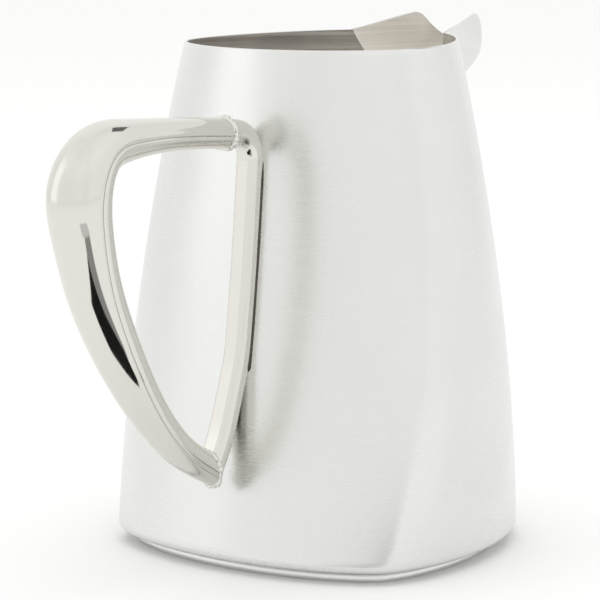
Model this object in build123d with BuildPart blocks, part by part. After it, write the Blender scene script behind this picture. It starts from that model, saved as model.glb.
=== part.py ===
from build123d import *
from math import atan2, cos, pi, radians, sin, sqrt
import os

os.makedirs("parts", exist_ok=True)

# Water pitcher: a sheet-metal body on a low foot ring, a beak spout at +X and a hollow loop handle at -X.
# Millimetres. +Z up, the origin is the middle of the base on the resting plane, Y = 0 is the symmetry plane.

RIM_HEIGHT = 180.0
RIM_SLOPE = 1.98  # degrees, the rim rises toward the spout
FOOT_HEIGHT = 3.9
SHEET = 1.0
BLANK_TOP = 185.0  # top of the body blank before its rim is cut

# Plan curve of the body. Mean radius at the base, at mid height and at the rim.
BASE_RADIUS = 70.5
MID_RADIUS = 61.7
NECK_RADIUS = 48.8
FORWARD_LEAN = 3.0  # shift of the rim toward the spout
# Relative harmonics of the plan (order, base, rim, extra at mid height): 2 oval, 3 triangle, 4 square.
HARMONICS = ((2, 0.0015, -0.0305, -0.0855), (3, 0.045, 0.0825, -0.001), (4, -0.032, 0.0145, -0.013))
PLAN_POINTS = 24

BOTTOM_EDGE_RADIUS = 3.0
BOTTOM_HOLE_INSET = 13.0

FOOT_INSET = 6.4
FOOT_WIDTH = 3.6
FOOT_EDGE = 0.8

# Spout levels: height, centre of the nose, nose radius, half width where the side leaves the body.
SPOUT_ROOT_X = 40.0
SPOUT_LEVELS = (
    (153.0, 56.0, 3.5, 4.5),
    (159.0, 64.5, 6.8, 9.5),
    (165.0, 73.0, 9.8, 14.0),
    (171.0, 77.0, 12.4, 18.0),
    (179.0, 77.4, 13.3, 21.5),
    (192.0, 77.4, 12.4, 22.8),
)
WING_START = (44.0, 181.3)
WING_PEAK = (76.5, 187.4)
POUR_EDGE = (91.5, 174.6)

# Centre line of the grip in the symmetry plane, from the upper joint round to the lower one, with its radius.
GRIP_STATIONS = (
    (-60.0, 151.2, 5.3),
    (-88.0, 152.8, 5.6),
    (-112.0, 152.6, 7.1),
    (-127.5, 149.0, 9.3),
    (-134.6, 138.5, 10.6),
    (-133.8, 124.0, 10.1),
    (-128.4, 105.5, 9.3),
    (-117.8, 85.0, 8.4),
    (-101.5, 62.0, 6.8),
    (-84.5, 46.0, 5.7),
    (-66.0, 35.5, 5.0),
)
GRIP_SECTIONS = 11
# How far the seam of the two grip halves lies from the centre line, toward the finger gap, in radii.
SEAM_AT_TOP = 0.2
SEAM_AT_BOTTOM = -0.35

GRIP_SHEET = 1.1

BAR_RADIUS = 4.6
BAR_SEAT = 1.6  # flat of the bar, measured from its centre toward the body
BAR_TOUCH_TOP = 138.0
BAR_TOUCH_BOTTOM = 74.0
BAR_CORNER_Z = 150.4
BAR_BENDS = [9.5, 200.0, 60.0, 60.0]  # bend radii from the top corner down

# Joint planes between grip and bar: a point in the symmetry plane and the direction of the tube there.
UPPER_JOINT = Plane(origin=(-60.0, 0, 151.2), x_dir=(0, 1, 0), z_dir=(0.99, 0, 0.12))
LOWER_JOINT = Plane(origin=(-69.2, 0, 37.3), x_dir=(0, 1, 0), z_dir=(0.97, 0, 0.23))
LOWER_JOINT_LONG = 6.6  # half length of the mitred section, which is slanted across the tube
JOINT_BEAD = 1.0

WELD = 0.8


def share(z):
    """Height as a share of the way from the bottom of the body to its rim."""
    return (z - FOOT_HEIGHT) / (RIM_HEIGHT - FOOT_HEIGHT)


def plan_point(z, angle, inset=0.0):
    """Point of the plan curve at a height, from the curve's distance along each direction."""
    s = share(z)
    mean = BASE_RADIUS * (1 - s) * (1 - 2 * s) + MID_RADIUS * 4 * s * (1 - s) + NECK_RADIUS * s * (2 * s - 1)
    reach = mean + FORWARD_LEAN * s * cos(angle) - inset
    turn = -FORWARD_LEAN * s * sin(angle)
    for order, base, rim, mid in HARMONICS:
        part = mean * (base * (1 - s) + rim * s + mid * 4 * s * (1 - s))
        reach += part * cos(order * angle)
        turn -= order * part * sin(order * angle)
    return (reach * cos(angle) - turn * sin(angle), reach * sin(angle) + turn * cos(angle))


def plan_points(z, inset=0.0):
    """The whole plan curve at a height, from one side round."""
    return [plan_point(z, pi / 2 + 2 * pi * i / PLAN_POINTS, inset) for i in range(PLAN_POINTS)]


def back_of_body(z):
    """Distance of the back wall from the origin in the symmetry plane."""
    return -plan_point(z, pi)[0]


def body_blank(inset, floor):
    """Solid body outline: plan curves from the floor up, joined smoothly."""
    with BuildPart() as blank:
        for i in range(5):
            z = floor + (BLANK_TOP - floor) * i / 4
            with BuildSketch(Plane.XY.offset(z)):
                with BuildLine():
                    Spline(*plan_points(z, inset), periodic=True)
                make_face()
        loft()
        if inset >= 0:
            fillet(blank.edges().group_by(Axis.Z)[0], max(BOTTOM_EDGE_RADIUS - inset, 0.5))
    return blank.part


def slab(inset, bottom, top):
    """Plate with the plan curve of the body's bottom, moved in."""
    with BuildPart() as plate:
        with BuildSketch(Plane.XY.offset(bottom)):
            with BuildLine():
                Spline(*plan_points(FOOT_HEIGHT, inset), periodic=True)
            make_face()
        extrude(amount=top - bottom)
    return plate.part


def spout_blank(inset):
    """Solid beak: at each level two straight sides tangent to a round nose."""
    with BuildPart() as blank:
        for z, centre, radius, half in SPOUT_LEVELS:
            r = max(radius - inset, 0.4)
            w = max(half - inset, 0.5)
            lean = atan2(w, centre - SPOUT_ROOT_X)
            reach = sqrt((centre - SPOUT_ROOT_X) ** 2 + w**2)
            # Angle of the tangent point on the nose, seen from its centre.
            touch = pi - lean - atan2(sqrt(reach**2 - r**2), r)
            tx = centre + r * cos(touch)
            ty = r * sin(touch)
            with BuildSketch(Plane.XY.offset(z + (inset if z < 160 else 0))):
                with BuildLine():
                    Line((SPOUT_ROOT_X, -w), (tx, -ty))
                    ThreePointArc((tx, -ty), (centre + r, 0), (tx, ty))
                    Line((tx, ty), (SPOUT_ROOT_X, w))
                    Line((SPOUT_ROOT_X, w), (SPOUT_ROOT_X, -w))
                make_face()
        loft()
    return blank.part


def lip_keep():
    """Everything under the top edge of the spout: rising wings, rounded peaks, and the cut down to the lip."""
    with BuildPart() as keep:
        with BuildSketch(Plane.XZ.offset(-40)):
            with BuildLine():
                Polyline((30, WING_START[1] - 0.6), WING_START, WING_PEAK, (79.5, 186.3), (86.5, 179.2))
                Spline((86.5, 179.2), POUR_EDGE, (98, 173.6), tangents=[(0.7, -0.71), (1, 0)])
                Polyline((98, 173.6), (98, 140), (30, 140), (30, WING_START[1] - 0.6))
            make_face()
        extrude(amount=80)
    return keep.part


def grip_line():
    """Centre line of the grip."""
    with BuildLine() as line:
        Spline(*[(x, 0, z) for x, z, _ in GRIP_STATIONS])
    return line.edges()[0]


def grip_radius(t):
    """Radius of the grip along its centre line, eased between the stations."""
    at = t * (len(GRIP_STATIONS) - 1)
    i = min(int(at), len(GRIP_STATIONS) - 2)
    step = at - i
    step = step * step * (3 - 2 * step) * 0.5 + step * 0.5
    return GRIP_STATIONS[i][2] * (1 - step) + GRIP_STATIONS[i + 1][2] * step


GRIP_LINE = grip_line()
GRIP_AT = [GRIP_LINE.param_at_point((x, 0, z)) for x, z, _ in GRIP_STATIONS]


def grip_place(i):
    """Plane across the grip at section i and the radius there."""
    share_along = i / (GRIP_SECTIONS - 1)
    at = share_along * (len(GRIP_STATIONS) - 1)
    low = min(int(at), len(GRIP_STATIONS) - 2)
    t = GRIP_AT[low] + (GRIP_AT[low + 1] - GRIP_AT[low]) * (at - low)
    return Plane(origin=GRIP_LINE @ t, x_dir=(0, 1, 0), z_dir=GRIP_LINE % t), grip_radius(share_along)


def grip_blank(inset):
    """Solid grip: circles of changing radius swept along the centre line."""
    with BuildPart() as blank:
        with BuildLine():
            add(GRIP_LINE)
        for i in range(GRIP_SECTIONS):
            plane, radius = grip_place(i)
            with BuildSketch(plane):
                Circle(radius - inset)
        sweep(multisection=True)
    return blank.part


def finger_side():
    """Slab of space on the finger side of the grip's seam."""
    seam = []
    for i in range(GRIP_SECTIONS):
        plane, radius = grip_place(i)
        t = i / (GRIP_SECTIONS - 1)
        side = (SEAM_AT_TOP * (1 - t) + SEAM_AT_BOTTOM * t) * radius
        across = plane.z_dir.cross(Vector(0, 1, 0))
        point = plane.origin + across * side
        seam.append((point.X, point.Z))
    with BuildPart() as region:
        with BuildSketch(Plane.XZ.offset(-20)):
            with BuildLine():
                Spline(*seam)
                Polyline(seam[-1], (-52, 35), (-52, seam[0][1]), seam[0])
            make_face()
        extrude(amount=40)
    return region.part


def bar_points():
    """Corners of the bar's centre line: out of the upper joint, down the back wall, out to the lower joint."""
    middle = (BAR_TOUCH_TOP + BAR_TOUCH_BOTTOM) / 2
    top, mid, low = [
        (-back_of_body(z) - BAR_SEAT, z) for z in (BAR_TOUCH_TOP, middle, BAR_TOUCH_BOTTOM)
    ]
    rise = (BAR_CORNER_Z - BAR_TOUCH_TOP) / (BAR_TOUCH_TOP - middle)
    corner = (top[0] + (top[0] - mid[0]) * rise, BAR_CORNER_Z)
    return [(-68.0, 152.1), corner, mid, low, (-62.3, 47.5), (-72.0, 31.5)]


def bar_blank(grow=0.0):
    """Bar of round section with a flat seat, swept along its centre line."""
    with BuildPart() as blank:
        with BuildLine() as line:
            FilletPolyline(*[(x, 0, z) for x, z in bar_points()], radius=BAR_BENDS)
        start = Plane(origin=line.edges()[0] @ 0, x_dir=(0, 1, 0), z_dir=line.edges()[0] % 0)
        with BuildSketch(start):
            Circle(BAR_RADIUS + grow)
        sweep()
    return blank.part


def joint_block(joint, side):
    """Block on one side of a joint plane, to cut a tube square to it."""
    with BuildPart() as block:
        with Locations(joint):
            Box(24, 24, 24, align=(Align.CENTER, Align.CENTER, side))
    return block.part


BODY_OUTER = body_blank(0.0, FOOT_HEIGHT)
BODY_INNER = body_blank(SHEET, FOOT_HEIGHT + SHEET)
RIM_PLANE = Plane(origin=(0, 0, RIM_HEIGHT), x_dir=(0, 1, 0), z_dir=(-sin(radians(RIM_SLOPE)), 0, cos(radians(RIM_SLOPE))))
SPOUT_OUTER = spout_blank(0.0)
SPOUT_INNER = spout_blank(SHEET)

# Wall of the body, with its turned-in bottom flange and the opening into the spout.
with BuildPart() as body_shell:
    add(BODY_OUTER)
    add(BODY_INNER, mode=Mode.SUBTRACT)
    add(slab(BOTTOM_HOLE_INSET, FOOT_HEIGHT, FOOT_HEIGHT + SHEET), mode=Mode.SUBTRACT)
    split(bisect_by=RIM_PLANE, keep=Keep.BOTTOM)
    add(SPOUT_INNER, mode=Mode.SUBTRACT)
body_shell.part.label = "body_shell"
export_step(body_shell.part, "parts/body_shell.step")

# Beak spout, one sheet with two raised wings, standing on the outside of the wall.
with BuildPart() as spout:
    add(SPOUT_OUTER)
    add(SPOUT_INNER, mode=Mode.SUBTRACT)
    add(lip_keep(), mode=Mode.INTERSECT)
    add(BODY_OUTER, mode=Mode.SUBTRACT)
spout.part.label = "spout"
export_step(spout.part, "parts/spout.step")

# Bottom sheet, let into the opening of the flange.
with BuildPart() as base_pan:
    add(slab(BOTTOM_HOLE_INSET, FOOT_HEIGHT, FOOT_HEIGHT + SHEET))
base_pan.part.label = "base_pan"
export_step(base_pan.part, "parts/base_pan.step")

# Standing ring, rounded at its lower edges, under the flange.
with BuildPart() as foot_ring:
    add(slab(FOOT_INSET, 0, FOOT_HEIGHT))
    add(slab(FOOT_INSET + FOOT_WIDTH, 0, FOOT_HEIGHT), mode=Mode.SUBTRACT)
    fillet(foot_ring.edges().group_by(Axis.Z)[0], FOOT_EDGE)
foot_ring.part.label = "foot_ring"
export_step(foot_ring.part, "parts/foot_ring.step")

# Seam bead in the corner between the ring and the underside.
with BuildPart() as foot_seam_weld:
    add(slab(FOOT_INSET - WELD, FOOT_HEIGHT - WELD, FOOT_HEIGHT))
    chamfer(foot_seam_weld.edges().group_by(Axis.Z)[0], WELD * 0.6)
    add(slab(FOOT_INSET, FOOT_HEIGHT - WELD, FOOT_HEIGHT), mode=Mode.SUBTRACT)
foot_seam_weld.part.label = "foot_seam_weld"
export_step(foot_seam_weld.part, "parts/foot_seam_weld.step")

# Seam bead where the spout meets the outside of the wall.
with BuildPart() as spout_seam_weld:
    add(spout_blank(-WELD))
    add(body_blank(-WELD, FOOT_HEIGHT), mode=Mode.INTERSECT)
    split(bisect_by=RIM_PLANE, keep=Keep.BOTTOM)
    add(SPOUT_OUTER, mode=Mode.SUBTRACT)
    add(BODY_OUTER, mode=Mode.SUBTRACT)
spout_seam_weld.part.label = "spout_seam_weld"
export_step(spout_seam_weld.part, "parts/spout_seam_weld.step")

GRIP_OUTER = grip_blank(0.0)
GRIP_INNER = grip_blank(GRIP_SHEET)
FINGER_SIDE = finger_side()
BAR = bar_blank()

# Outer half of the hollow grip.
with BuildPart() as grip_outer_shell:
    add(GRIP_OUTER)
    add(GRIP_INNER, mode=Mode.SUBTRACT)
    add(FINGER_SIDE, mode=Mode.SUBTRACT)
    add(joint_block(UPPER_JOINT, Align.MIN), mode=Mode.SUBTRACT)
    add(joint_block(LOWER_JOINT, Align.MIN), mode=Mode.SUBTRACT)
grip_outer_shell.part.label = "grip_outer_shell"
export_step(grip_outer_shell.part, "parts/grip_outer_shell.step")

# Inner half of the hollow grip, on the finger side.
with BuildPart() as grip_inner_shell:
    add(GRIP_OUTER)
    add(GRIP_INNER, mode=Mode.SUBTRACT)
    add(FINGER_SIDE, mode=Mode.INTERSECT)
    add(joint_block(UPPER_JOINT, Align.MIN), mode=Mode.SUBTRACT)
    add(joint_block(LOWER_JOINT, Align.MIN), mode=Mode.SUBTRACT)
grip_inner_shell.part.label = "grip_inner_shell"
export_step(grip_inner_shell.part, "parts/grip_inner_shell.step")

# Bar that closes the loop, seated on the back wall and cut square to the two joint planes.
with BuildPart() as handle_mount_bar:
    add(BAR)
    add(joint_block(UPPER_JOINT, Align.MAX), mode=Mode.SUBTRACT)
    add(joint_block(LOWER_JOINT, Align.MAX), mode=Mode.SUBTRACT)
    add(BODY_OUTER, mode=Mode.SUBTRACT)
handle_mount_bar.part.label = "handle_mount_bar"
export_step(handle_mount_bar.part, "parts/handle_mount_bar.step")



def joint_bead(joint, wide, long):
    """Rounded collar across a joint, before the two tubes are cut out of it."""
    with BuildPart() as bead:
        with BuildSketch(joint):
            Ellipse(wide + JOINT_BEAD, long + JOINT_BEAD)
        extrude(amount=JOINT_BEAD, both=True)
        fillet(bead.edges(), JOINT_BEAD * 0.6)
    return bead.part


# Bead over the upper joint.
with BuildPart() as upper_joint_weld:
    add(joint_bead(UPPER_JOINT, GRIP_STATIONS[0][2], GRIP_STATIONS[0][2]))
    add(GRIP_OUTER, mode=Mode.SUBTRACT)
    add(BAR, mode=Mode.SUBTRACT)
upper_joint_weld.part.label = "upper_joint_weld"
export_step(upper_joint_weld.part, "parts/upper_joint_weld.step")

# Bead over the mitred lower joint.
with BuildPart() as lower_joint_weld:
    add(joint_bead(LOWER_JOINT, GRIP_STATIONS[-1][2], LOWER_JOINT_LONG))
    add(GRIP_OUTER, mode=Mode.SUBTRACT)
    add(BAR, mode=Mode.SUBTRACT)
lower_joint_weld.part.label = "lower_joint_weld"
export_step(lower_joint_weld.part, "parts/lower_joint_weld.step")

# Bead round the seat of the bar on the wall.
with BuildPart() as bar_to_body_weld:
    add(bar_blank(WELD))
    add(body_blank(-WELD, FOOT_HEIGHT), mode=Mode.INTERSECT)
    add(BAR, mode=Mode.SUBTRACT)
    add(BODY_OUTER, mode=Mode.SUBTRACT)
bar_to_body_weld.part.label = "bar_to_body_weld"
export_step(bar_to_body_weld.part, "parts/bar_to_body_weld.step")
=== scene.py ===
import math

import bmesh
import bpy
import numpy as np
from mathutils import Matrix, Vector


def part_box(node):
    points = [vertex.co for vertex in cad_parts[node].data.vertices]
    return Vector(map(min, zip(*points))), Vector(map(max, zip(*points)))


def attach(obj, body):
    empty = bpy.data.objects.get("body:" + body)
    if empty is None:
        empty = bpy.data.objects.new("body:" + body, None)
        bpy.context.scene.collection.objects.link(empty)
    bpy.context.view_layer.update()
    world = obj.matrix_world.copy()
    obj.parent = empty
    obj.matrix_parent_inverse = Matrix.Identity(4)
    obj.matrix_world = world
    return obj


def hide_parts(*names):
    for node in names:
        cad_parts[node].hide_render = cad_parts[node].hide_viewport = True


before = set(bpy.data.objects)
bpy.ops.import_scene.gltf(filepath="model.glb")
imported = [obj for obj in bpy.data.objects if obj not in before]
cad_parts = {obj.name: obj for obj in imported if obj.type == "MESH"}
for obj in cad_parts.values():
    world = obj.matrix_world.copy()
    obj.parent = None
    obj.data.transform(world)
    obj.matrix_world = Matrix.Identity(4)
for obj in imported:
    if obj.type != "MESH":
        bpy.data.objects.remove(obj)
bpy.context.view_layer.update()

# The pitcher is worked out in millimetres and written to Blender in metres.
MM = 0.001
foot_low, foot_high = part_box("foot_ring")
BASE_Z = foot_high[2] / MM
RIM_Z = 180.0  # height of the sloping rim at x = 0
RIM_SLOPE = math.tan(math.radians(1.98))
RIM_PASSES = 4  # rounds that settle the rim's height
SHEET = 1.0  # thickness of the wall and spout sheet
BASE_R, MID_R, NECK_R = 70.5, 61.7, 48.8  # mean radius at the base, half way up and at the rim
LEAN = 3.0  # how far the rim stands forward of the base
# Waves of the outline round the body: (order, share at the base, at the rim, extra half way up).
HARMONICS = (
    (2, 0.0015, -0.0305, -0.0855),
    (3, 0.045, 0.0825, -0.001),
    (4, -0.032, 0.0145, -0.013),
)
EDGE_R = 3.0  # outside radius of the bottom edge
FLANGE_INSET = 13.0  # how far the bottom flange runs inward

SPOUT_ROOT_X = 40.0  # where the beak's straight sides start
# The beak level by level: (height, nose centre x, nose radius, half width at the root).
SPOUT_LEVELS = np.array([
    (153.0, 56.0, 3.5, 4.5),
    (159.0, 64.5, 6.8, 9.5),
    (165.0, 73.0, 9.8, 14.0),
    (171.0, 77.0, 12.4, 18.0),
    (179.0, 77.4, 13.3, 21.5),
    (192.0, 77.4, 12.4, 22.8),
])
SPOUT_LOW, SPOUT_HIGH = SPOUT_LEVELS[0, 0], SPOUT_LEVELS[-1, 0]
MIN_NOSE_R, MIN_ROOT_W = 0.4, 0.5  # smallest nose radius and root half width of the inner skin
NOSE_SHARE = 0.5  # part of the share q that the round nose takes, up to the tangent point

SEAM_SEARCH_TOP, SEAM_SEARCH_STEPS = 184.0, 1241
NO_SEAM = 200.0  # a height above the rim, for columns that the beak doesn't reach
ROOT_LOW, ROOT_HIGH, ROOT_PASSES = 0.05, 1.2, 40  # radians searched for the end of the seam


# ---------------------------------------------------------------- curves
def spline_bends(t, p):
    """Second derivatives of the natural cubic spline through p at t."""
    n = len(t)
    h = np.diff(t)
    a = np.zeros((n, n))
    b = np.zeros((n,) + p.shape[1:])
    a[0, 0] = a[-1, -1] = 1.0
    for i in range(1, n - 1):
        a[i, i - 1], a[i, i], a[i, i + 1] = h[i - 1], 2 * (h[i - 1] + h[i]), h[i]
        b[i] = 6 * ((p[i + 1] - p[i]) / h[i] - (p[i] - p[i - 1]) / h[i - 1])
    return np.linalg.solve(a, b)


def spline_at(t, p, m, x):
    """Value at x of the spline through p at t with second derivatives m."""
    i = np.clip(np.searchsorted(t, x) - 1, 0, len(t) - 2)
    h = t[i + 1] - t[i]
    u = (t[i + 1] - x) / h
    v = (x - t[i]) / h
    if p.ndim > 1:
        u, v, h = u[:, None], v[:, None], h[:, None]
    return u * p[i] + v * p[i + 1] + ((u**3 - u) * m[i] + (v**3 - v) * m[i + 1]) * h * h / 6


LEVEL_BENDS = spline_bends(SPOUT_LEVELS[:, 0], SPOUT_LEVELS[:, 1:])


def spout_level(z, inset=0.0):
    """Nose centre, nose radius and root half width of the beak at a height."""
    z = np.clip(np.atleast_1d(z), SPOUT_LOW, SPOUT_HIGH)
    c = spline_at(SPOUT_LEVELS[:, 0], SPOUT_LEVELS[:, 1:], LEVEL_BENDS, z)
    return c[:, 0], np.maximum(c[:, 1] - inset, MIN_NOSE_R), np.maximum(c[:, 2] - inset, MIN_ROOT_W)


def spout_tangent(c, r, w):
    """Where the straight side meets the nose, with its angle on the nose."""
    lean = np.arctan2(w, c - SPOUT_ROOT_X)
    reach = np.hypot(c - SPOUT_ROOT_X, w)
    touch = np.pi - lean - np.arctan2(np.sqrt(np.maximum(reach**2 - r**2, 0)), r)
    return c + r * np.cos(touch), r * np.sin(touch), touch


def spout_point(q, z, inset=0.0):
    """Point of the beak at share q (0 nose, NOSE_SHARE tangent point, 1 root) and height z, for +Y."""
    c, r, w = spout_level(z, inset)
    tx, ty, touch = spout_tangent(c, r, w)
    q = np.atleast_1d(q)
    ang = np.minimum(q / NOSE_SHARE, 1.0) * touch
    k = np.maximum(q - NOSE_SHARE, 0.0) / (1 - NOSE_SHARE)
    x = np.where(q < NOSE_SHARE, c + r * np.cos(ang), tx + (SPOUT_ROOT_X - tx) * k)
    y = np.where(q < NOSE_SHARE, r * np.sin(ang), ty + (w - ty) * k)
    return x, y


def spout_share(x, y, z, inset=0.0):
    """The share q of a point that lies on the beak."""
    c, r, w = spout_level(z, inset)
    tx, _ty, touch = spout_tangent(c, r, w)
    on_line = NOSE_SHARE + (1 - NOSE_SHARE) * (tx - x) / (tx - SPOUT_ROOT_X)
    on_arc = NOSE_SHARE * np.arctan2(np.abs(y), x - c) / touch
    return np.where(x < tx, on_line, np.clip(on_arc, 0, NOSE_SHARE))


def spout_half_width(x, z, inset=0.0):
    """Half width of the beak at x and z; negative ahead of the nose."""
    c, r, w = spout_level(z, inset)
    tx, ty, _touch = spout_tangent(c, r, w)
    line = w + (ty - w) * (x - SPOUT_ROOT_X) / (tx - SPOUT_ROOT_X)
    arc = np.sqrt(np.maximum(r * r - (x - c) ** 2, 0))
    return np.where(x < tx, line, np.where(x > c + r, -(x - c - r), arc))


# The spout's top edge from the side: (x, height).
LIP = np.array([
    (30.0, 178.7), (44.0, 181.3), (52.0, 182.8), (60.0, 184.3), (68.0, 185.8), (73.5, 186.8), (76.5, 187.2),
    (79.0, 186.5), (82.0, 183.8), (86.0, 179.7), (89.0, 176.7), (92.0, 174.9), (99.0, 173.2),
])


def lip_height(x):
    """Top edge of the spout sheet, seen from the side."""
    return np.interp(x, LIP[:, 0], LIP[:, 1])


def plan(z, angle, inset=0.0):
    """Body outline at a height: the point whose outward normal has this angle."""
    s = (z - BASE_Z) / (RIM_Z - BASE_Z)
    mean = BASE_R * (1 - s) * (1 - 2 * s) + MID_R * 4 * s * (1 - s) + NECK_R * s * (2 * s - 1)
    reach = mean + LEAN * s * np.cos(angle) - inset
    turn = -LEAN * s * np.sin(angle)
    for order, base, rim, mid in HARMONICS:
        part = mean * (base * (1 - s) + rim * s + mid * 4 * s * (1 - s))
        reach = reach + part * np.cos(order * angle)
        turn = turn - order * part * np.sin(order * angle)
    x = reach * np.cos(angle) - turn * np.sin(angle)
    y = reach * np.sin(angle) + turn * np.cos(angle)
    return x, y


def rim_height(angle, inset):
    """Height of the sloping rim where the outward normal has this angle."""
    z = np.full_like(angle, RIM_Z)
    for _pass in range(RIM_PASSES):
        x, _y = plan(z, angle, inset)
        z = RIM_Z + RIM_SLOPE * x
    return z


def attach_height(angle, inset):
    """Height where the beak leaves the wall on each column, or NO_SEAM."""
    zs = np.linspace(SPOUT_LOW, SEAM_SEARCH_TOP, SEAM_SEARCH_STEPS)
    out = np.full_like(angle, NO_SEAM)
    for i, a in enumerate(angle):
        x, y = plan(zs, a, inset)
        d = np.where(x > SPOUT_ROOT_X, spout_half_width(x, zs, inset) - np.abs(y), -1.0)
        hit = np.where(d > 0)[0]
        if len(hit):
            k = hit[0]
            if k == 0:
                out[i] = zs[0]
            else:
                out[i] = zs[k - 1] + (zs[k] - zs[k - 1]) * (-d[k - 1]) / (d[k] - d[k - 1])
    return out


def wing_root(inset):
    """Angle of the column where the beak's seam reaches the rim."""
    low, high = ROOT_LOW, ROOT_HIGH
    for _pass in range(ROOT_PASSES):
        mid = 0.5 * (low + high)
        a = np.array([mid])
        if attach_height(a, inset)[0] < rim_height(a, inset)[0]:
            low = mid
        else:
            high = mid
    return low


# ---------------------------------------------------------------- meshes
MERGE_DISTANCE = 2e-6  # metres
EMPTY_FACE_SIZE = 1e-7  # metres
HOLE_SIDES = 8  # largest gap, in edges, that is closed


def make_object(name, verts, faces, material, node_names, inside_from=None):
    """Smooth-shaded piece; faces from inside_from on take the brushed inside finish."""
    mesh = bpy.data.meshes.new(name)
    mesh.from_pydata([tuple(v) for v in np.asarray(verts) * MM], [], faces)
    mesh.materials.append(material)
    if inside_from is not None:
        mesh.materials.append(brushed)
        inside = [int(i >= inside_from) for i in range(len(faces))]
        mesh.polygons.foreach_set("material_index", inside)
    # Rows that meet in one point are joined there, so that no empty face is left.
    shape = bmesh.new()
    shape.from_mesh(mesh)
    bmesh.ops.remove_doubles(shape, verts=shape.verts, dist=MERGE_DISTANCE)
    bmesh.ops.dissolve_degenerate(shape, edges=shape.edges, dist=EMPTY_FACE_SIZE)
    bmesh.ops.holes_fill(shape, edges=[e for e in shape.edges if e.is_boundary], sides=HOLE_SIDES)
    bmesh.ops.recalc_face_normals(shape, faces=shape.faces)
    shape.to_mesh(mesh)
    shape.free()
    mesh.polygons.foreach_set("use_smooth", [True] * len(mesh.polygons))
    mesh.update()
    obj = bpy.data.objects.new(name, mesh)
    bpy.context.scene.collection.objects.link(obj)
    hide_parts(*node_names)
    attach(obj, "root")
    return obj


def grid_faces(rows, cols, wrap_rows=False, wrap_cols=False, start=0, flip=False):
    """Quads over a grid of points stored row by row."""
    faces = []
    for i in range(rows if wrap_rows else rows - 1):
        for j in range(cols if wrap_cols else cols - 1):
            a = start + i * cols + j
            b = start + i * cols + (j + 1) % cols
            c = start + ((i + 1) % rows) * cols + (j + 1) % cols
            d = start + ((i + 1) % rows) * cols + j
            faces.append((a, d, c, b) if flip else (a, b, c, d))
    return faces


def sharpen(obj, angle):
    """Shades flat across edges that turn by more than this angle in degrees."""
    obj.data.set_sharp_from_angle(angle=math.radians(angle))


# ---------------------------------------------------------------- materials
GRAIN_DETAIL = 3.0
CLOUD_SCALE, CLOUD_DETAIL, CLOUD_ROUGHNESS = 28.0, 4.0, 0.6
STAIN_FROM, STAIN_TO = 0.35, 0.65  # noise values that give the darkest and the palest colour
ROUGH_FROM, ROUGH_TO = 0.12, 0.40  # noise values that give the smoothest and the roughest metal
MIN_ROUGHNESS = 0.01
SCRATCH_SCALE, SCRATCH_WIDTH = 240.0, 0.02
BUMP_DISTANCE = 0.0002  # metres


def node(tree, kind, **settings):
    """New shader node with its settings."""
    made = tree.nodes.new(kind)
    for key, value in settings.items():
        setattr(made, key, value)
    return made


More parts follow.
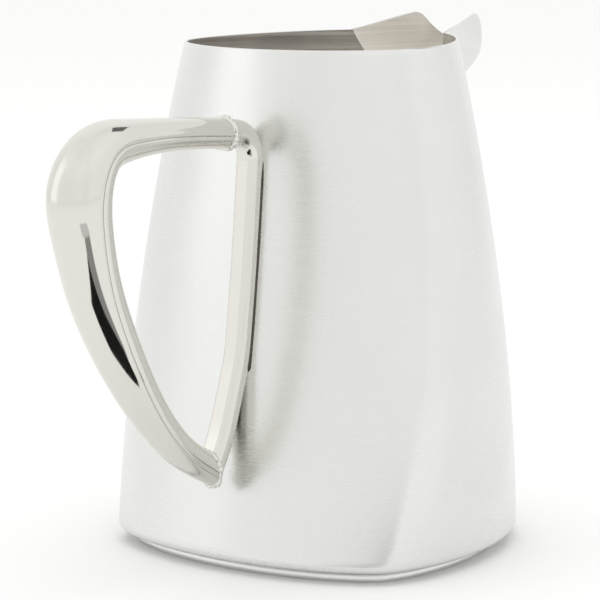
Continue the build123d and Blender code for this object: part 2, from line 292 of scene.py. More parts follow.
def steel(name, color, rough, rough_swing, grain_scale, grain_bump, blotch, tint, scratch, grain_share=0.2):
    """Stainless steel: grain along one direction, cloudy roughness, faint stains and fine scratches.

    blotch darkens the colour and tint lifts it, at the two ends of the stains. grain_share is how much of
    the stains follows the grain instead of the clouds.
    """
    mat = bpy.data.materials.new(name)
    mat.use_nodes = True
    tree = mat.node_tree
    tree.nodes.clear()
    out = node(tree, "ShaderNodeOutputMaterial")
    bsdf = node(tree, "ShaderNodeBsdfPrincipled")
    bsdf.inputs["Metallic"].default_value = 1.0
    tree.links.new(bsdf.outputs[0], out.inputs[0])
    coord = node(tree, "ShaderNodeTexCoord")
    stretch = node(tree, "ShaderNodeMapping")
    stretch.inputs["Scale"].default_value = grain_scale
    tree.links.new(coord.outputs["Object"], stretch.inputs["Vector"])
    grain = node(tree, "ShaderNodeTexNoise")
    grain.inputs["Scale"].default_value = 1.0
    grain.inputs["Detail"].default_value = GRAIN_DETAIL
    tree.links.new(stretch.outputs[0], grain.inputs["Vector"])
    cloud = node(tree, "ShaderNodeTexNoise")
    cloud.inputs["Scale"].default_value = CLOUD_SCALE
    cloud.inputs["Detail"].default_value = CLOUD_DETAIL
    cloud.inputs["Roughness"].default_value = CLOUD_ROUGHNESS
    tree.links.new(coord.outputs["Object"], cloud.inputs["Vector"])
    # Colour: a drift between two close steels that follows the clouds and the grain.
    ramp = node(tree, "ShaderNodeMix", data_type="RGBA")
    ramp.inputs["A"].default_value = (*[c * (1 - blotch) for c in color], 1.0)
    ramp.inputs["B"].default_value = (*[min(c * t, 1.0) for c, t in zip(color, tint)], 1.0)
    shade = node(tree, "ShaderNodeMix", data_type="FLOAT")
    shade.inputs["Factor"].default_value = grain_share
    tree.links.new(cloud.outputs["Fac"], shade.inputs["A"])
    tree.links.new(grain.outputs["Fac"], shade.inputs["B"])
    contrast = node(tree, "ShaderNodeMapRange")
    contrast.inputs["From Min"].default_value = STAIN_FROM
    contrast.inputs["From Max"].default_value = STAIN_TO
    tree.links.new(shade.outputs["Result"], contrast.inputs["Value"])
    tree.links.new(contrast.outputs[0], ramp.inputs["Factor"])
    tree.links.new(ramp.outputs["Result"], bsdf.inputs["Base Color"])
    # Roughness: clouds and grain multiplied.
    both = node(tree, "ShaderNodeMath", operation="MULTIPLY")
    tree.links.new(cloud.outputs["Fac"], both.inputs[0])
    tree.links.new(grain.outputs["Fac"], both.inputs[1])
    span = node(tree, "ShaderNodeMapRange")
    span.inputs["From Min"].default_value = ROUGH_FROM
    span.inputs["From Max"].default_value = ROUGH_TO
    span.inputs["To Min"].default_value = max(rough - rough_swing, MIN_ROUGHNESS)
    span.inputs["To Max"].default_value = rough + rough_swing
    tree.links.new(both.outputs[0], span.inputs["Value"])
    tree.links.new(span.outputs[0], bsdf.inputs["Roughness"])
    # Relief: grain lines and a net of fine scratches.
    cells = node(tree, "ShaderNodeTexVoronoi", feature="DISTANCE_TO_EDGE")
    cells.inputs["Scale"].default_value = SCRATCH_SCALE
    tree.links.new(coord.outputs["Object"], cells.inputs["Vector"])
    thin = node(tree, "ShaderNodeMapRange")
    thin.inputs["From Max"].default_value = SCRATCH_WIDTH
    thin.inputs["To Min"].default_value = -scratch
    thin.inputs["To Max"].default_value = 0.0
    tree.links.new(cells.outputs["Distance"], thin.inputs["Value"])
    height = node(tree, "ShaderNodeMath", operation="ADD")
    tree.links.new(grain.outputs["Fac"], height.inputs[0])
    tree.links.new(thin.outputs[0], height.inputs[1])
    bump = node(tree, "ShaderNodeBump")
    bump.inputs["Strength"].default_value = grain_bump
    bump.inputs["Distance"].default_value = BUMP_DISTANCE
    tree.links.new(height.outputs[0], bump.inputs["Height"])
    tree.links.new(bump.outputs[0], bsdf.inputs["Normal"])
    return mat


satin = steel(
    "satin_steel", (0.762, 0.765, 0.752), rough=0.27, rough_swing=0.014, grain_scale=(24, 24, 700),
    grain_bump=0.008, blotch=0.012, tint=(1.01, 1.015, 1.01), scratch=0.01,
)
brushed = steel(
    "brushed_inside", (0.78, 0.75, 0.70), rough=0.56, rough_swing=0.14, grain_scale=(9, 9, 1100),
    grain_bump=0.5, blotch=0.16, tint=(1.06, 1.05, 1.03), scratch=0.1, grain_share=0.75,
)
polish = steel(
    "polished_steel", (0.71, 0.694, 0.648), rough=0.07, rough_swing=0.025, grain_scale=(160, 160, 160),
    grain_bump=0.012, blotch=0.01, tint=(1.01, 1.01, 1.02), scratch=0.02,
)
# The seat bead's near-black colour is painted shade: it stands for the dark contact line where the bar meets
# the wall.
seat_weld_painted_shade = steel(
    "dark_painted_shade_weld", (0.12, 0.11, 0.10), rough=0.5, rough_swing=0.1, grain_scale=(500, 500, 500),
    grain_bump=0.5, blotch=0.2, tint=(1.1, 1.05, 1.0), scratch=0.1,
)
weld = steel(
    "weld_steel", (0.74, 0.73, 0.71), rough=0.16, rough_swing=0.06, grain_scale=(500, 500, 500),
    grain_bump=0.5, blotch=0.08, tint=(1.03, 1.02, 1.0), scratch=0.1,
)


# ---------------------------------------------------------------- body wall
SPOUT_COLUMNS = 72
REST_COLUMNS = 132
WALL_ROWS = 90
FLANGE_ROWS = 4
EDGE_STEPS = 8
SHEET_CREASE = 50  # degrees


def columns(root):
    """Normal angles round the body: across the spout first, then round the back."""
    front = root * np.linspace(-1, 1, SPOUT_COLUMNS + 1)
    back = np.linspace(root, 2 * math.pi - root, REST_COLUMNS + 1)
    return np.concatenate([front[:-1], back[:-1]])


def wall_skin(inset):
    """Rows of points from the flange edge, round the bottom edge and up to the rim or the spout seam."""
    ang = columns(wing_root(inset))
    top = np.minimum(attach_height(ang, inset), rim_height(ang, inset))
    top[0] = top[SPOUT_COLUMNS] = rim_height(ang[:1], inset)[0]
    bottom = BASE_Z + inset
    r = EDGE_R - inset
    rows = []
    for d in np.linspace(FLANGE_INSET, EDGE_R, FLANGE_ROWS + 1)[:-1]:
        x, y = plan(np.full_like(ang, BASE_Z), ang, d)
        rows.append(np.stack([x, y, np.full_like(x, bottom)], 1))
    for k in range(EDGE_STEPS + 1):
        a = math.pi / 2 * k / EDGE_STEPS
        level = np.full_like(ang, BASE_Z + EDGE_R * k / EDGE_STEPS)
        x, y = plan(level, ang, inset + r * (1 - math.sin(a)))
        rows.append(np.stack([x, y, np.full_like(x, bottom + r * (1 - math.cos(a)))], 1))
    start = bottom + r
    for k in range(1, WALL_ROWS + 1):
        z = start + (top - start) * k / WALL_ROWS
        x, y = plan(z, ang, inset)
        rows.append(np.stack([x, y, z], 1))
    return rows, ang, top


outer_rows, outer_ang, outer_top = wall_skin(0.0)
inner_rows, inner_ang, inner_top = wall_skin(SHEET)


def soften_edge(outer, inner, drop=0.28):
    """Rounds the edge between two skins: both skins drop a little, and a middle row keeps the height."""
    middle = 0.5 * (outer + inner)
    outer = outer.copy()
    inner = inner.copy()
    outer[:, 2] -= drop
    inner[:, 2] -= drop
    return outer, middle, inner


outer_rows[-1], rim_middle, inner_rows[-1] = soften_edge(outer_rows[-1], inner_rows[-1])
wall_rows = outer_rows + [rim_middle] + inner_rows[::-1]
wall_columns = len(outer_ang)
verts = np.concatenate(wall_rows)
faces = grid_faces(len(wall_rows), wall_columns, wrap_rows=True, wrap_cols=True)
inside_from = (len(outer_rows) + 1) * wall_columns
wall = make_object("wall_skin", verts, faces, satin, ["body_shell"], inside_from)
sharpen(wall, SHEET_CREASE)


# ---------------------------------------------------------------- spout
SPOUT_ROWS = 40
LIP_SPREAD = 0.9  # below 1, columns crowd less at the nose
LIP_PASSES = 30  # rounds that settle the lip's height


def spout_skin(inset, ang, top):
    """Rows of points over the beak, from its seam on the wall up to the lip."""
    a = ang[: SPOUT_COLUMNS + 1]
    z0 = top[: SPOUT_COLUMNS + 1]
    x0, y0 = plan(z0, a, inset)
    q0 = spout_share(x0, y0, z0, inset)
    u = np.linspace(-1, 1, SPOUT_COLUMNS + 1)
    q1 = q0[-1] * np.abs(u) ** LIP_SPREAD
    z1 = np.full_like(u, RIM_Z)
    for _pass in range(LIP_PASSES):
        x, _y = spout_point(q1, z1, inset)
        z1 = 0.5 * z1 + 0.5 * lip_height(x)
    z1[0], z1[-1] = z0[0], z0[-1]
    rows = []
    for k in range(SPOUT_ROWS + 1):
        v = k / SPOUT_ROWS
        z = z0 + (z1 - z0) * v
        q = q0 + (q1 - q0) * v
        x, y = spout_point(q, z, inset)
        if k == 0:
            x, y = x0, np.abs(y0)
        rows.append(np.stack([x, y * np.sign(u), z], 1))
    return rows


lip_out = spout_skin(0.0, outer_ang, outer_top)
lip_in = spout_skin(SHEET, inner_ang, inner_top)
lip_out[-1], lip_middle, lip_in[-1] = soften_edge(lip_out[-1], lip_in[-1])
lip_rows = lip_out + [lip_middle] + lip_in[::-1]
verts = np.concatenate(lip_rows)
faces = grid_faces(len(lip_rows), SPOUT_COLUMNS + 1, wrap_rows=True)
inside_from = (len(lip_out) + 1) * SPOUT_COLUMNS
spout = make_object("spout_lip", verts, faces, satin, ["spout"], inside_from)
sharpen(spout, SHEET_CREASE)


# ---------------------------------------------------------------- foot
# Insets are measured inward from the bottom outline.
FOOT_OUTER_INSET, FOOT_INNER_INSET, FOOT_EDGE_R = 6.4, 10.0, 0.8
FOOT_SEAM_INSET, FOOT_SEAM_DROP, FOOT_SEAM_R = 6.0, 0.25, 0.55
RING_POINTS = 240


def ring_on_plan(name, profile, material, nodes, wobble=0.0):
    """Closed ring that follows the bottom outline: profile points are (inset, height).

    wobble is how far a fine ripple moves them in and out.
    """
    ang = np.linspace(0, 2 * math.pi, RING_POINTS, endpoint=False)
    rows = []
    for k, (d, z) in enumerate(profile):
        w = wobble * (np.sin(ang * 97 + k) + 0.7 * np.sin(ang * 61 + 2 * k))
        x, y = plan(np.full_like(ang, BASE_Z), ang, d + w)
        rows.append(np.stack([x, y, np.full_like(x, z)], 1))
    verts = np.concatenate(rows)
    faces = grid_faces(len(rows), len(ang), wrap_rows=True, wrap_cols=True, flip=True)
    return make_object(name, verts, faces, material, nodes)


def rounded_profile(d0, d1, z0, z1, r, steps=5):
    """Rectangle profile with its two lower corners rounded."""
    points = [(d0, z1)]
    for k in range(steps + 1):
        a = math.pi / 2 * k / steps
        points.append((d0 + r * (1 - math.cos(a)), z0 + r * (1 - math.sin(a))))
    for k in range(steps + 1):
        a = math.pi / 2 * k / steps
        points.append((d1 - r * (1 - math.sin(a)), z0 + r * (1 - math.cos(a))))
    return points + [(d1, z1)]


band_profile = rounded_profile(FOOT_OUTER_INSET, FOOT_INNER_INSET, 0.0, BASE_Z, FOOT_EDGE_R)
ring_on_plan("foot_band", band_profile, satin, ["foot_ring"])
seam_profile = [
    (FOOT_SEAM_INSET + FOOT_SEAM_R * math.cos(a), BASE_Z - FOOT_SEAM_DROP + FOOT_SEAM_R * math.sin(a))
    for a in np.linspace(0, 2 * math.pi, 10, endpoint=False)
]
ring_on_plan("foot_seam", seam_profile, weld, ["foot_seam_weld"], wobble=0.03)

# The bottom sheet's CAD shape is right, so it stays and gets a better material.
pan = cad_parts["base_pan"]
pan.data.materials.clear()
pan.data.materials.append(brushed)


# ---------------------------------------------------------------- handle
def joint_plane(x, z, along_x, along_z):
    """Plane of a weld joint: a point and its unit normal, both on the pitcher's middle plane."""
    return np.array([x, 0, z]), np.array([along_x, 0, along_z]) / math.hypot(along_x, along_z)


# The grip from the upper to the lower joint: (x, height, radius).
STATIONS = np.array([
    (-60.0, 151.2, 5.3), (-88.0, 152.8, 5.6), (-112.0, 152.6, 7.1), (-127.5, 149.0, 9.3),
    (-134.6, 138.5, 10.6), (-133.8, 124.0, 10.1), (-128.4, 105.5, 9.3), (-117.8, 85.0, 8.4),
    (-101.5, 62.0, 6.8), (-84.5, 46.0, 5.7), (-66.0, 35.5, 5.0),
])
SEAM_TOP, SEAM_BOTTOM = 0.2, -0.35  # cosine of the seam's angle from the finger side, at each end
SEAM_GAP = 0.006  # radians between the half-shells' edges and the seam line
SEAM_DIP, SEAM_DIP_WIDTH = 0.30, 0.35  # how far the sheet's edge turns in at the seam, and over what width
GRIP_SHEET = 1.1  # thickness
GRIP_RINGS, GRIP_POINTS = 150, 33
GRIP_CREASE = 60  # degrees
TANGENT_STEP = 0.05  # half the span that a direction is measured over
MIN_SLOPE = 0.2  # a tube flatter than this to a joint plane isn't cut there
UPPER = joint_plane(-60.0, 151.2, 0.99, 0.12)
LOWER = joint_plane(-69.2, 37.3, 0.97, 0.23)
SIDE = np.array([0.0, 1.0, 0.0])


def grip_frames(count):
    """Centre, direction, finger-side direction, radius and share of the way at even steps along the grip."""
    p = STATIONS[:, :2]
    t = np.concatenate([[0], np.cumsum(np.hypot(*np.diff(p, axis=0).T))])
    bends = spline_bends(t, STATIONS)
    x = np.linspace(0, t[-1], count)
    v = spline_at(t, STATIONS, bends, x)
    ahead = spline_at(t, STATIONS, bends, np.clip(x + TANGENT_STEP, 0, t[-1]))
    behind = spline_at(t, STATIONS, bends, np.clip(x - TANGENT_STEP, 0, t[-1]))
    e = ahead - behind
    tangent = np.stack([e[:, 0], np.zeros(count), e[:, 1]], 1)
    tangent /= np.linalg.norm(tangent, axis=1)[:, None]
    centre = np.stack([v[:, 0], np.zeros(count), v[:, 1]], 1)
    return centre, tangent, np.cross(tangent, SIDE), v[:, 2], x / t[-1]


def cut_to_joint(points, tangent, joint, keep):
    """Slides points past a joint plane back onto it, along the tube."""
    origin, normal = joint
    far = keep * ((points - origin) @ normal)
    slope = keep * float(tangent @ normal)
    move = np.where(far > 0, -far / slope if abs(slope) > MIN_SLOPE else 0, 0)
    return points + move[:, None] * tangent


def near(centre, joint, reach=14.0):
    """Whether a ring's centre is close enough to a joint to be cut there."""
    return np.linalg.norm(centre - joint[0]) < reach


def grip_half(name, inner, material, node_name):
    """Half-shell of the hollow grip: the inner one faces the fingers."""
    centre, tangent, inward, radius, share = grip_frames(GRIP_RINGS)
    loops = []
    for c, t, facing, r, s in zip(centre, tangent, inward, radius, share):
        seam = math.acos(SEAM_TOP * (1 - s) + SEAM_BOTTOM * s)
        if inner:
            low, high = -seam + SEAM_GAP, seam - SEAM_GAP
        else:
            low, high = seam + SEAM_GAP, 2 * math.pi - seam - SEAM_GAP
        a = np.linspace(low, high, GRIP_POINTS)
        # The sheet's edge turns in slightly at the seam.
        edge = np.minimum(a - low, high - a) * r
        outer_r = r - SEAM_DIP * np.exp(-((edge / SEAM_DIP_WIDTH) ** 2))
        outer = c + np.outer(np.cos(a) * outer_r, facing) + np.outer(np.sin(a) * outer_r, SIDE)
        inner_r = r - GRIP_SHEET
        back = a[::-1]
        inside = c + np.outer(np.cos(back) * inner_r, facing) + np.outer(np.sin(back) * inner_r, SIDE)
        loop = np.concatenate([outer, inside])
        for joint in (UPPER, LOWER):
            if near(c, joint):
                loop = cut_to_joint(loop, t, joint, 1.0)
        loops.append(loop)
    count = len(loops[0])
    faces = grid_faces(len(loops), count, wrap_cols=True, flip=True)
    # Both ends are closed between the outer and the inner edge of the sheet.
    half = count // 2
    for base, turn in ((0, False), ((len(loops) - 1) * count, True)):
        for j in range(half - 1):
            quad = (base + j, base + j + 1, base + count - 2 - j, base + count - 1 - j)
            faces.append(quad[::-1] if turn else quad)
    obj = make_object(name, np.concatenate(loops), faces, material, [node_name])
    sharpen(obj, GRIP_CREASE)


grip_half("grip_back", False, polish, "grip_outer_shell")
grip_half("grip_front", True, polish, "grip_inner_shell")


BAR_R = 4.6
BAR_SEAT = 1.6  # how far the bar's centre line stands behind the wall
BAR_LEVELS = (138.0, 106.0, 74.0)  # heights where the bar follows the wall
BAR_TOP_Z = 150.4  # height of the corner under the upper joint
BAR_TOP_END, BAR_LOW_CORNER, BAR_LOW_END = (-68.0, 152.1), (-62.3, 47.5), (-72.0, 31.5)  # (x, height)
BAR_BENDS = (9.5, 200.0, 60.0, 60.0)  # bend radius at each corner
BAR_BITE = 0.4  # how deep the bar sinks into the wall
BAR_HALF_HEIGHT = 95  # above it the bar ends at the upper joint, below it at the lower one
UPPER_SPARE, LOWER_SPARE = -6, -7  # rings up to this far beyond a joint plane are kept and slid back
BAR_CREASE, FLAT_ANGLES = 153, (160, 170, 180, 190, 200)  # degrees; 180 faces the fingers
ROUND_POINTS = 44  # points round the bar from crease to crease
BAR_SHARP = 20  # degrees
MIN_ARC_STEPS = 6  # fewest steps along a bend


def back_of_body(z):
    """How far behind the axis the wall's back is at a height."""
    x, _y = plan(np.atleast_1d(float(z)), np.array([math.pi]))
    return -float(x[0])


def fillet_path(points, radii, step=1.2):
    """Straight runs joined by tangent arcs, as evenly spaced points."""
    path = [np.array(points[0], float)]
    for i, r in enumerate(radii, start=1):
        p, a, b = (np.array(points[j], float) for j in (i, i - 1, i + 1))
        ua = (a - p) / np.linalg.norm(a - p)
        ub = (b - p) / np.linalg.norm(b - p)
        half = 0.5 * math.acos(np.clip(ua @ ub, -1, 1))
        cut = r / math.tan(half)
        mid = (ua + ub) / np.linalg.norm(ua + ub)
        centre = p + mid * r / math.sin(half)
        s, e = p + ua * cut, p + ub * cut
        a0 = math.atan2(*(s - centre)[::-1])
        a1 = math.atan2(*(e - centre)[::-1])
        turn = (a1 - a0 + math.pi) % (2 * math.pi) - math.pi
        count = max(MIN_ARC_STEPS, int(abs(turn) * r / step))
        for k in range(count + 1):
            g = a0 + turn * k / count
            path.append(centre + r * np.array([math.cos(g), math.sin(g)]))
    path.append(np.array(points[-1], float))
    path = np.array(path)
    length = np.concatenate([[0], np.cumsum(np.hypot(*np.diff(path, axis=0).T))])
    x = np.linspace(0, length[-1], int(length[-1] / step))
    return np.stack([np.interp(x, length, path[:, k]) for k in (0, 1)], 1)


def bar_corners():
    """Corners of the bar's centre line, from the upper joint down: (x, height)."""
    top, mid, low = [(-back_of_body(z) - BAR_SEAT, z) for z in BAR_LEVELS]
    rise = (BAR_TOP_Z - BAR_LEVELS[0]) / (BAR_LEVELS[0] - BAR_LEVELS[1])
    corner = (top[0] + (top[0] - mid[0]) * rise, BAR_TOP_Z)
    return [BAR_TOP_END, corner, mid, low, BAR_LOW_CORNER, BAR_LOW_END]


bar_line = fillet_path(bar_corners(), BAR_BENDS)


def bar_frames():
    """Centre, direction and wall-side direction at each point of the bar's line."""
    d = np.gradient(bar_line, axis=0)
    d /= np.linalg.norm(d, axis=1)[:, None]
    centre = np.stack([bar_line[:, 0], np.zeros(len(d)), bar_line[:, 1]], 1)
    tangent = np.stack([d[:, 0], np.zeros(len(d)), d[:, 1]], 1)
    return centre, tangent, np.cross(tangent, SIDE)


def past_joint(c):
    """Distance of a point of the bar's line from its joint plane, positive on the body's side."""
    origin, normal = UPPER if c[2] > BAR_HALF_HEIGHT else LOWER
    return (c - origin) @ normal


def build_bar():
    """Bar that follows the back of the wall, sunk a little into it."""
    centre, tangent, across = bar_frames()
    keep = [past_joint(c) > (UPPER_SPARE if c[2] > BAR_HALF_HEIGHT else LOWER_SPARE) for c in centre]
    loops = []
    # The side toward the fingers is a narrow flat between two creases.
    crease = math.radians(BAR_CREASE)
    angles = np.concatenate([np.linspace(-crease, crease, ROUND_POINTS), np.radians(FLAT_ANGLES)])
    flat = BAR_R * math.cos(math.pi - crease)
    on_flat = np.cos(angles) < math.cos(crease) - 1e-9
    size = np.where(on_flat, flat / np.abs(np.cos(angles)), BAR_R)
    for c, t, facing in zip(centre[keep], tangent[keep], across[keep]):
        loop = c + np.outer(np.cos(angles) * size, facing) + np.outer(np.sin(angles) * size, SIDE)
        wall_x = -back_of_body(c[2]) + BAR_BITE
        loop[:, 0] = np.minimum(loop[:, 0], wall_x)
        for joint in (UPPER, LOWER):
            if near(c, joint):
                loop = cut_to_joint(loop, t, joint, -1.0)
        loops.append(loop)
    count = len(angles)
    faces = grid_faces(len(loops), count, wrap_cols=True, flip=True)
    last = (len(loops) - 1) * count
    faces.append(tuple(range(count)))
    faces.append(tuple(last + j for j in reversed(range(count))))
    verts = np.concatenate(loops)
    obj = make_object("mount_bar", verts, faces, polish, ["handle_mount_bar"])
    sharpen(obj, BAR_SHARP)


build_bar()


# ---------------------------------------------------------------- welds
BEAD_POINTS = 14  # points round a bead
PHASE_SPAN = 6.28  # radians that the random phases are drawn from
UPRIGHT_LIMIT = 0.8  # a tangent this close to x is turned against z instead
BEAD_OVAL = 0.08  # how far a bead's section leaves a circle
SEAT_TOP, SEAT_LOW, SEAT_END, SEAT_POINTS = 141.0, 70.0, 69.0, 90  # heights, and points down each side
SEAT_SIDE_INSET, SEAT_END_HALF = 0.35, 3.6
SEAT_STAND, SEAT_END_STAND = 0.15, 0.1  # how far the seat bead's middle stands out of the wall
SEAM_TRIM = 3  # columns left out at each end of the spout's seam


def bead_along(name, path, radius, nodes, closed=True, lump=0.22, ripples=18, seed=1, metal=weld):
    """Weld bead: a round string along a path with the lumps of its puddles."""
    rng = np.random.default_rng(seed)
    path = np.array(path)
    total = len(path)
    tangent = np.roll(path, -1, 0) - np.roll(path, 1, 0)
    if not closed:
        tangent[0] = path[1] - path[0]
        tangent[-1] = path[-1] - path[-2]
    tangent /= np.linalg.norm(tangent, axis=1)[:, None]
    phase = rng.uniform(0, PHASE_SPAN, 4)
    loops = []
    for i, (p, t) in enumerate(zip(path, tangent)):
        s = i / total * 2 * math.pi
        ref = np.array([1.0, 0, 0]) if abs(t[0]) < UPRIGHT_LIMIT else np.array([0, 0, 1.0])
        u = np.cross(t, ref)
        u /= np.linalg.norm(u)
        v = np.cross(t, u)
        # Fine puddles that come and go, and two slower waves.
        fine = 0.45 * math.sin(ripples * s + phase[0]) * math.sin(2 * s + phase[3])
        slow = 0.4 * math.sin(7 * s + phase[1])
        slowest = 0.35 * math.sin(4 * s + phase[2])
        size = 1 + lump * (fine + slow + slowest)
        if not closed:
            # The two ends of an open bead taper over the last part of its length.
            size *= min(1.0, 0.25 + 16.0 * min(i, total - 1 - i) / total)
        a = np.linspace(0, 2 * math.pi, BEAD_POINTS, endpoint=False)
        r = radius * size * (1 + BEAD_OVAL * np.sin(3 * a + 5 * s))
        loops.append(p + np.outer(np.cos(a) * r, u) + np.outer(np.sin(a) * r, v))
    faces = grid_faces(len(loops), BEAD_POINTS, wrap_rows=closed, wrap_cols=True)
    if not closed:
        last = (len(loops) - 1) * BEAD_POINTS
        faces.append(tuple(range(BEAD_POINTS)))
        faces.append(tuple(last + j for j in reversed(range(BEAD_POINTS))))
    make_object(name, np.concatenate(loops), faces, metal, nodes)


def joint_ring(joint, wide, long, count=120):
    """Oval on a joint plane: half widths across the pitcher and along the plane."""
    origin, normal = joint
    v = np.cross(normal, SIDE)
    a = np.linspace(0, 2 * math.pi, count, endpoint=False)
    return origin + np.outer(np.cos(a) * wide, SIDE) + np.outer(np.sin(a) * long, v)


bead_along("upper_bead", joint_ring(UPPER, 5.2, 5.2), 1.1, ["upper_joint_weld"],
           lump=0.42, ripples=23, seed=3)
bead_along("lower_bead", joint_ring(LOWER, 4.85, 6.35), 0.95, ["lower_joint_weld"],
           lump=0.4, ripples=21, seed=5)

# Bead down one side of the bar's seat, across below it and up the other side; its near-black colour is
# painted shade for the dark contact line beside the bar.
seat_y = BAR_R - SEAT_SIDE_INSET
seat_heights = np.linspace(SEAT_TOP, SEAT_LOW, SEAT_POINTS)
left_run, right_run = [
    [(-back_of_body(z) - SEAT_STAND, side * seat_y, z) for z in seat_heights] for side in (-1, 1)
]
cross_run = [
    (-back_of_body(SEAT_END) - SEAT_END_STAND, y, SEAT_END)
    for y in np.linspace(-SEAT_END_HALF, SEAT_END_HALF, 9)
]
bead_along("seat_bead", left_run + cross_run + right_run[::-1], 0.45, ["bar_to_body_weld"],
           closed=False, lump=0.06, ripples=60, seed=7, metal=seat_weld_painted_shade)

# Ground seam where the spout sheet meets the wall.
bead_along("spout_seam", lip_out[0][SEAM_TRIM:-SEAM_TRIM], 0.28, ["spout_seam_weld"],
           closed=False, lump=0.1, ripples=40, seed=9)


# ---------------------------------------------------------------- camera
AZ, EL = math.radians(-54.0), math.radians(8.572)
DISTANCE, AIM_X, AIM_Z, FOCAL_PX = 966.1, -9.626, 86.966, 2692.6
SENSOR_MM, IMAGE_PX = 36.0, 600.0
back = Vector((math.sin(AZ) * math.cos(EL), -math.cos(AZ) * math.cos(EL), math.sin(EL)))
right = Vector((math.cos(AZ), math.sin(AZ), 0))
up = back.cross(right)
camera = bpy.data.objects.new("camera", bpy.data.cameras.new("camera"))
bpy.context.scene.collection.objects.link(camera)
aim = right * AIM_X + Vector((0, 0, AIM_Z))
basis = Matrix((right, up, back)).transposed().to_4x4()
camera.matrix_world = Matrix.Translation((aim + back * DISTANCE) * MM) @ basis
camera.data.sensor_width = SENSOR_MM
camera.data.lens = FOCAL_PX * SENSOR_MM / IMAGE_PX
camera.data.clip_end = 50.0
bpy.context.scene.camera = camera


# ---------------------------------------------------------------- studio
FLOOR_HALF = 6  # metres
FLOOR_WHITE = 0.93
MATT = 0.9  # roughness of the floor and the cards

floor_mesh = bpy.data.meshes.new("floor")
floor_corners = [(FLOOR_HALF * i, FLOOR_HALF * j, 0) for i, j in ((-1, -1), (1, -1), (1, 1), (-1, 1))]
floor_mesh.from_pydata(floor_corners, [], [(0, 1, 2, 3)])
floor = bpy.data.objects.new("floor", floor_mesh)
floor.location.z = float(foot_low[2])
bpy.context.scene.collection.objects.link(floor)
floor_mat = bpy.data.materials.new("floor_white")
floor_mat.use_nodes = True
floor_bsdf = floor_mat.node_tree.nodes["Principled BSDF"]
floor_bsdf.inputs["Base Color"].default_value = (FLOOR_WHITE, FLOOR_WHITE, FLOOR_WHITE, 1)
floor_bsdf.inputs["Roughness"].default_value = MATT
floor_bsdf.inputs["Specular IOR Level"].default_value = 0.1
floor_mesh.materials.append(floor_mat)


def set_ramp(ramp, stops):
    """Grey stops (position, value) on a colour ramp."""
    ramp.interpolation = "LINEAR"
    while len(ramp.elements) > 1:
        ramp.elements.remove(ramp.elements[-1])
    for i, (position, value) in enumerate(stops):
        stop = ramp.elements[0] if i == 0 else ramp.elements.new(position)
        stop.position = position
        stop.color = (value, value, value * TENT_WARMTH, 1)


# The white tent round the pitcher: its walls by compass direction, in degrees from +X, and by height.
TENT_WARMTH = 0.995
TENT_WALLS = (
    (-180, 0.99), (-135, 1.02), (-120, 0.99), (-95, 1.04), (-40, 1.03), (-4, 0.94), (20, 1.04), (65, 1.04),
    (98, 0.99), (135, 1.03), (180, 0.99),
)
TENT_HEIGHTS = ((0.0, 1.0), (0.35, 1.0), (0.7, 1.05), (1.0, 1.0))

world = bpy.data.worlds.new("tent")
bpy.context.scene.world = world
world.use_nodes = True
tent = world.node_tree
tent.nodes.clear()
tent_out = node(tent, "ShaderNodeOutputWorld")
background = node(tent, "ShaderNodeBackground")
background.inputs["Strength"].default_value = 1.0
tent.links.new(background.outputs[0], tent_out.inputs[0])
direction = node(tent, "ShaderNodeTexCoord")
axes = node(tent, "ShaderNodeSeparateXYZ")
tent.links.new(direction.outputs["Generated"], axes.inputs[0])
compass = node(tent, "ShaderNodeMath", operation="ARCTAN2")
tent.links.new(axes.outputs["Y"], compass.inputs[0])
tent.links.new(axes.outputs["X"], compass.inputs[1])
turn_share = node(tent, "ShaderNodeMapRange")
turn_share.inputs["From Min"].default_value = -math.pi
turn_share.inputs["From Max"].default_value = math.pi
tent.links.new(compass.outputs[0], turn_share.inputs["Value"])
by_compass = node(tent, "ShaderNodeValToRGB")
tent.links.new(turn_share.outputs[0], by_compass.inputs["Fac"])
set_ramp(by_compass.color_ramp, [((degrees + 180) / 360, value) for degrees, value in TENT_WALLS])
by_height = node(tent, "ShaderNodeValToRGB")
tent.links.new(axes.outputs["Z"], by_height.inputs["Fac"])
set_ramp(by_height.color_ramp, TENT_HEIGHTS)
tent_tone = node(tent, "ShaderNodeMix", data_type="RGBA", blend_type="MULTIPLY")
tent_tone.inputs["Factor"].default_value = 1.0
tent.links.new(by_compass.outputs[0], tent_tone.inputs["A"])
tent.links.new(by_height.outputs[0], tent_tone.inputs["B"])
tent.links.new(tent_tone.outputs["Result"], background.inputs["Color"])


def panel(name, location, target, size, power, glossy):
    """Soft area light aimed at a point."""
    light = bpy.data.lights.new(name, "AREA")
    light.shape = "RECTANGLE"
    light.size, light.size_y = size
    light.energy = power
    obj = bpy.data.objects.new(name, light)
    obj.location = location
    obj.rotation_euler = (Vector(target) - Vector(location)).to_track_quat("-Z", "Y").to_euler()
    obj.visible_glossy = glossy
    bpy.context.scene.collection.objects.link(obj)
    return obj


TOP_PANEL_HEIGHT, TOP_PANEL_SIDE, TOP_PANEL_WATTS = 1.6, 2.4, 6.0  # metres, metres, watts
panel("top_panel", (0, 0, TOP_PANEL_HEIGHT), (0, 0, 0), (TOP_PANEL_SIDE, TOP_PANEL_SIDE), TOP_PANEL_WATTS,
      glossy=False)


def side_panel(name, bearing, half_angle, distance, low, high, glow):
    """Upright soft box that only the metal sees; glow is what it adds to the white tent."""
    a = math.radians(bearing)
    width = 2 * distance * math.tan(math.radians(half_angle))
    height = high - low
    place = (distance * math.cos(a), distance * math.sin(a), (low + high) / 2)
    obj = panel(name, place, (0, 0, place[2]), (width, height), glow * math.pi * width * height,
                glossy=True)
    obj.visible_diffuse = False
    obj.visible_camera = False


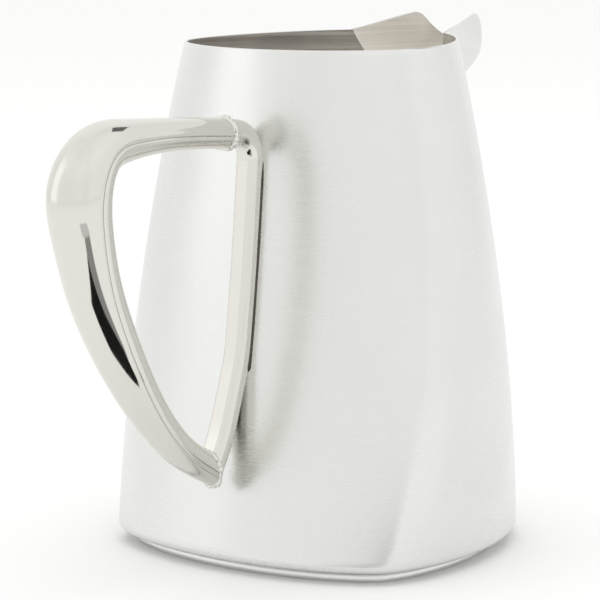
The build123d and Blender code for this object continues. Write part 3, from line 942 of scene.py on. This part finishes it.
# Five nested soft boxes, each wider than the one before, so that their glow fades out at the sides.
SOFT_BOX_BEARING, SOFT_BOX_GLOW = 131, 0.052
for step, half_angle in enumerate((9.0, 11.0, 13.0, 15.5, 18.0)):
    side_panel(f"soft_box_{step}", SOFT_BOX_BEARING, half_angle, distance=0.7 + 0.01 * step,
               low=0.125 - 0.012 * step, high=0.55 + 0.06 * step, glow=SOFT_BOX_GLOW)


def metal_only_card(name, corners, shade):
    """Card that only the metal reflects: it is hidden from the camera and the floor, and casts no shadow."""
    mesh = bpy.data.meshes.new(name)
    mesh.from_pydata([tuple(c * MM for c in v) for v in corners], [], [tuple(range(len(corners)))])
    card = bpy.data.objects.new(name, mesh)
    bpy.context.scene.collection.objects.link(card)
    mat = bpy.data.materials.new(name)
    mat.use_nodes = True
    bsdf = mat.node_tree.nodes["Principled BSDF"]
    bsdf.inputs["Base Color"].default_value = (shade, shade, shade, 1)
    bsdf.inputs["Roughness"].default_value = MATT
    bsdf.inputs["Specular IOR Level"].default_value = 0.0
    mesh.materials.append(mat)
    card.visible_camera = False
    card.visible_diffuse = False
    card.visible_shadow = False
    return card


def floor_card(name, outline, height, shade):
    """Card lying on the floor; its outline is given as (toward the camera, to the right)."""
    level = foot_low[2] / MM + height
    corners = []
    for toward, beside in outline:
        x = beside * math.cos(AZ) + toward * math.sin(AZ)
        y = beside * math.sin(AZ) - toward * math.cos(AZ)
        corners.append((x, y, level))
    return metal_only_card(name, corners, shade)


HUNG_CARD_AIM_Z = 100


def hung_card(name, bearing, rise, distance, wide, tall, shade):
    """Card hung round the pitcher, facing a point half way up it."""
    a, e = math.radians(bearing), math.radians(rise)
    out = Vector((math.cos(e) * math.cos(a), math.cos(e) * math.sin(a), math.sin(e)))
    side = Vector((-math.sin(a), math.cos(a), 0))
    over = out.cross(side)
    place = out * distance + Vector((0, 0, HUNG_CARD_AIM_Z))
    corners = [
        place + side * wide * i / 2 + over * tall * j / 2
        for i, j in ((-1, -1), (1, -1), (1, 1), (-1, 1))
    ]
    return metal_only_card(name, corners, shade)


DARK_OUTLINE = [
    (300, -22), (205, -88), (152, -60), (134, -12), (124, 14), (124, 34), (150, 44), (200, 6), (250, -8),
]
GREY_NEAR_OUTLINE = [(140, 40), (145, 62), (330, 78), (330, -10), (250, -30), (150, 30)]
GREY_FAR_OUTLINE = [(330, 92), (330, -40), (430, -60), (430, 92)]
PALE_RIGHT_OUTLINE = [(92, 150), (92, 900), (-700, 900), (-700, 260), (-200, 160), (0, 125)]
cards = [
    floor_card("dark_card", DARK_OUTLINE, height=1.5, shade=0.012),
    floor_card("grey_card_near", GREY_NEAR_OUTLINE, height=1.0, shade=0.27),
    floor_card("grey_card_far", GREY_FAR_OUTLINE, height=1.0, shade=0.6),
    floor_card("pale_card_right", PALE_RIGHT_OUTLINE, height=0.5, shade=0.87),
    hung_card("dark_card_high", -14, 52, distance=800, wide=190, tall=240, shade=0.16),
]

view = bpy.context.scene.view_settings
view.view_transform = "Standard"
view.look = "None"
view.exposure = 0.0
view.gamma = 1.0
